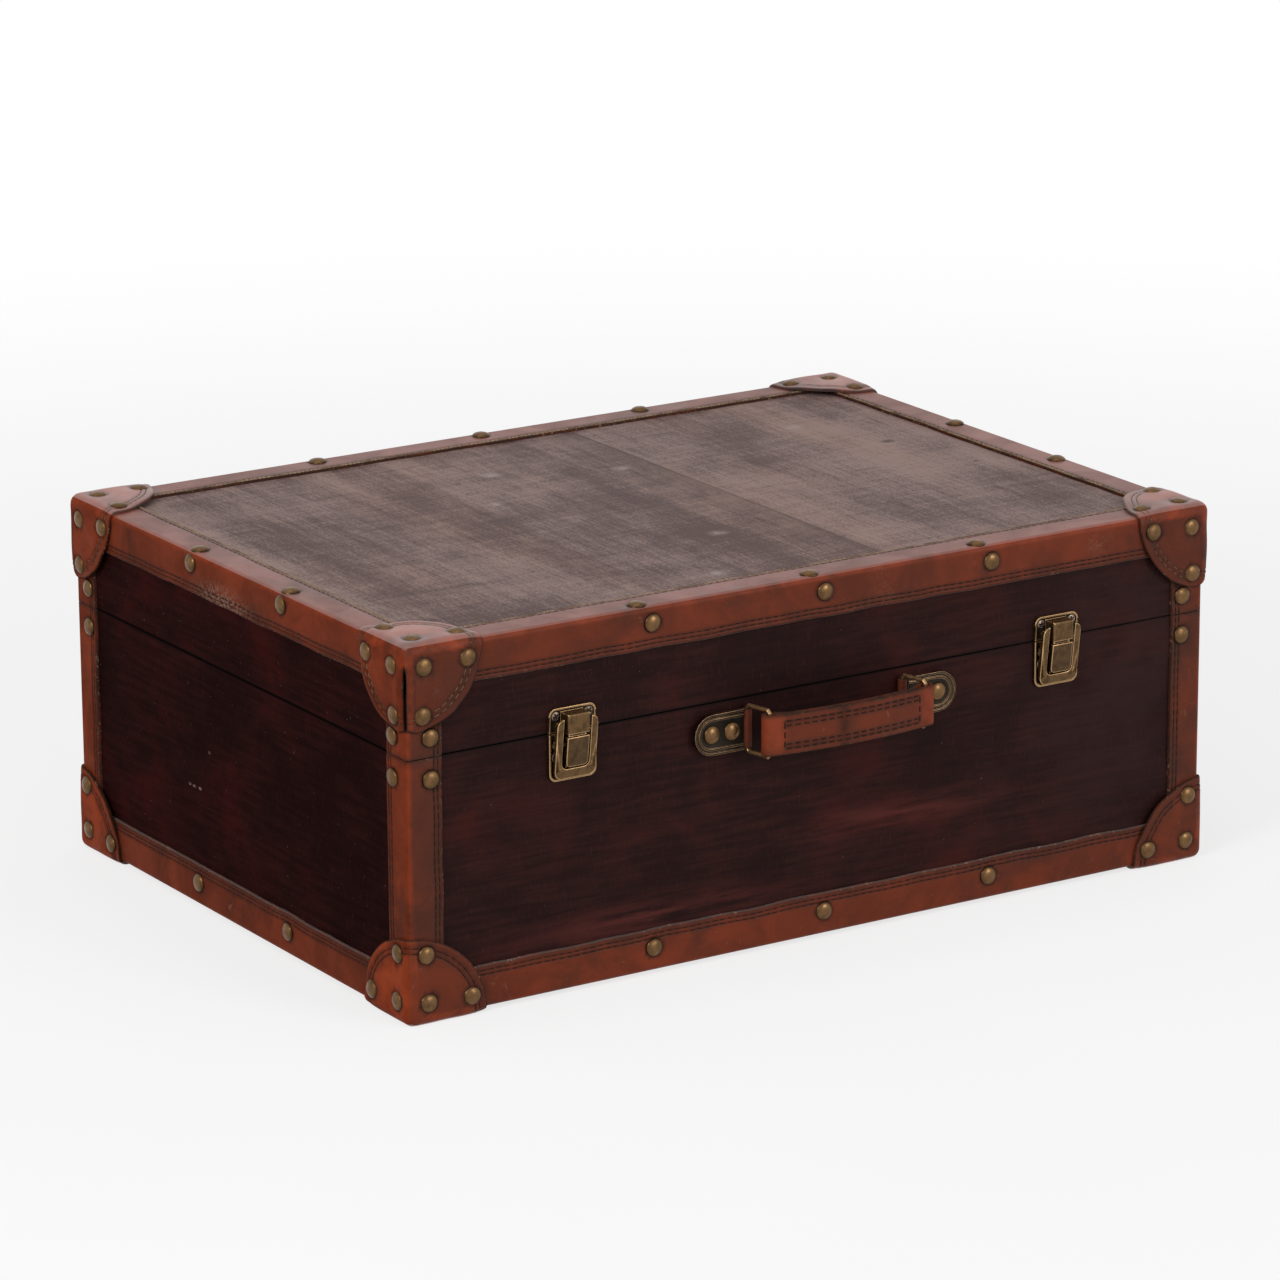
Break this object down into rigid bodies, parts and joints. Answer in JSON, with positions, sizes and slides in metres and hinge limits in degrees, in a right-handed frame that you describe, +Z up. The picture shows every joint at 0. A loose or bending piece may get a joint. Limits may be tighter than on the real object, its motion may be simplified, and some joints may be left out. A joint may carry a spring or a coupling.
{
  "type": "wooden suitcase",
  "caption": "Rectangular wooden suitcase with a hinged lid, tacked leather edge strips and corner patches, rocker latches and a swinging leather strap handle.",
  "frame": {"origin": "On the floor under the middle of the box that holds the whole closed suitcase, handle and hinges included.", "axes": "+X along the length, the right-hand end as seen from the front; +Y from the handle side to the hinge side; +Z up, the suitcase lying flat on its bottom."},
  "size_m": [0.4882, 0.3712, 0.1949],
  "materials": {
    "wood": "dark stained veneer, satin varnish, scuffed",
    "leather": "orange-brown hide, worn pale at the edges",
    "brass": "antiqued brass",
    "lining": "plain woven cloth",
    "steel": "plain steel wire and sheet"
  },
  "bodies": {
    "base": {"base_back_panel": "wood", "base_bottom_panel": "wood", "base_corner_back_left": "leather", "base_corner_back_right": "leather", "base_corner_front_left": "leather", "base_corner_front_right": "leather", "base_edge_back": "leather", "base_edge_front": "leather", "base_edge_left": "leather", "base_edge_right": "leather", "base_front_panel": "wood", "base_left_panel": "wood", "base_lining": "lining", "base_post_back_left": "leather", "base_post_back_right": "leather", "base_post_front_left": "leather", "base_post_front_right": "leather", "base_right_panel": "wood", "base_screws": "brass", "base_tacks": "brass", "handle_plate_left": "brass", "handle_plate_right": "brass", "handle_tab_left": "leather", "handle_tab_right": "leather", "hinge_leaf_base_left": "brass", "hinge_leaf_base_right": "brass", "hinge_pins": "steel", "latch_pivot_pins": "steel", "latch_plate_left": "brass", "latch_plate_right": "brass", "latch_spring_left": "steel", "latch_spring_right": "steel"},
    "lid": {"hinge_leaf_lid_left": "brass", "hinge_leaf_lid_right": "brass", "latch_keeper_left": "brass", "latch_keeper_right": "brass", "lid_back_panel": "wood", "lid_corner_back_left": "leather", "lid_corner_back_right": "leather", "lid_corner_front_left": "leather", "lid_corner_front_right": "leather", "lid_edge_back": "leather", "lid_edge_front": "leather", "lid_edge_left": "leather", "lid_edge_right": "leather", "lid_front_panel": "wood", "lid_left_panel": "wood", "lid_lining": "lining", "lid_posts": "leather", "lid_right_panel": "wood", "lid_screws": "brass", "lid_tacks": "brass", "lid_top_panel": "wood"},
    "latch_left": {"latch_frame_left": "brass", "latch_tongue_left": "brass"},
    "latch_right": {"latch_frame_right": "brass", "latch_tongue_right": "brass"},
    "handle_ring_left": {"handle_ring_left": "brass"},
    "handle_strap": {"handle_strap": "leather"},
    "handle_ring_right": {"handle_ring_right": "brass"}
  },
  "joints": [
    {"name": "lid_hinge", "type": "hinge", "parent": "base", "child": "lid", "pos_m": [0, 0.18121, 0.1348], "axis": [-1, 0, 0], "range_deg": [0, 100]},
    {"name": "latch_left_rocker", "type": "hinge", "parent": "base", "child": "latch_left", "pos_m": [-0.146, -0.16209, 0.1288], "axis": [-1, 0, 0], "range_deg": [0, 10], "stiffness_Nm_per_rad": 0.05, "deforming": ["latch_spring_left"]},
    {"name": "latch_right_rocker", "type": "hinge", "parent": "base", "child": "latch_right", "pos_m": [0.146, -0.16209, 0.1288], "axis": [-1, 0, 0], "range_deg": [0, 10], "stiffness_Nm_per_rad": 0.05, "deforming": ["latch_spring_right"]},
    {"name": "handle_swing", "type": "hinge", "parent": "base", "child": "handle_ring_left", "pos_m": [-0.0445, -0.16164, 0.1193], "axis": [0, 0, 1], "range_deg": [-71, 49]},
    {"name": "strap_turn", "type": "hinge", "parent": "handle_ring_left", "child": "handle_strap", "pos_m": [-0.04145, -0.17734, 0.1193], "axis": [0, 0, 1], "range_deg": [-49, 71]},
    {"name": "ring_right_swing", "type": "hinge", "parent": "base", "child": "handle_ring_right", "pos_m": [0.0495, -0.16164, 0.1193], "axis": [0, 0, 1], "range_deg": [-71, 49]}
  ],
  "couplings": [
    {"joint": "strap_turn", "follows": "handle_swing", "ratio": -1},
    {"joint": "ring_right_swing", "follows": "handle_swing", "ratio": 1}
  ]
}
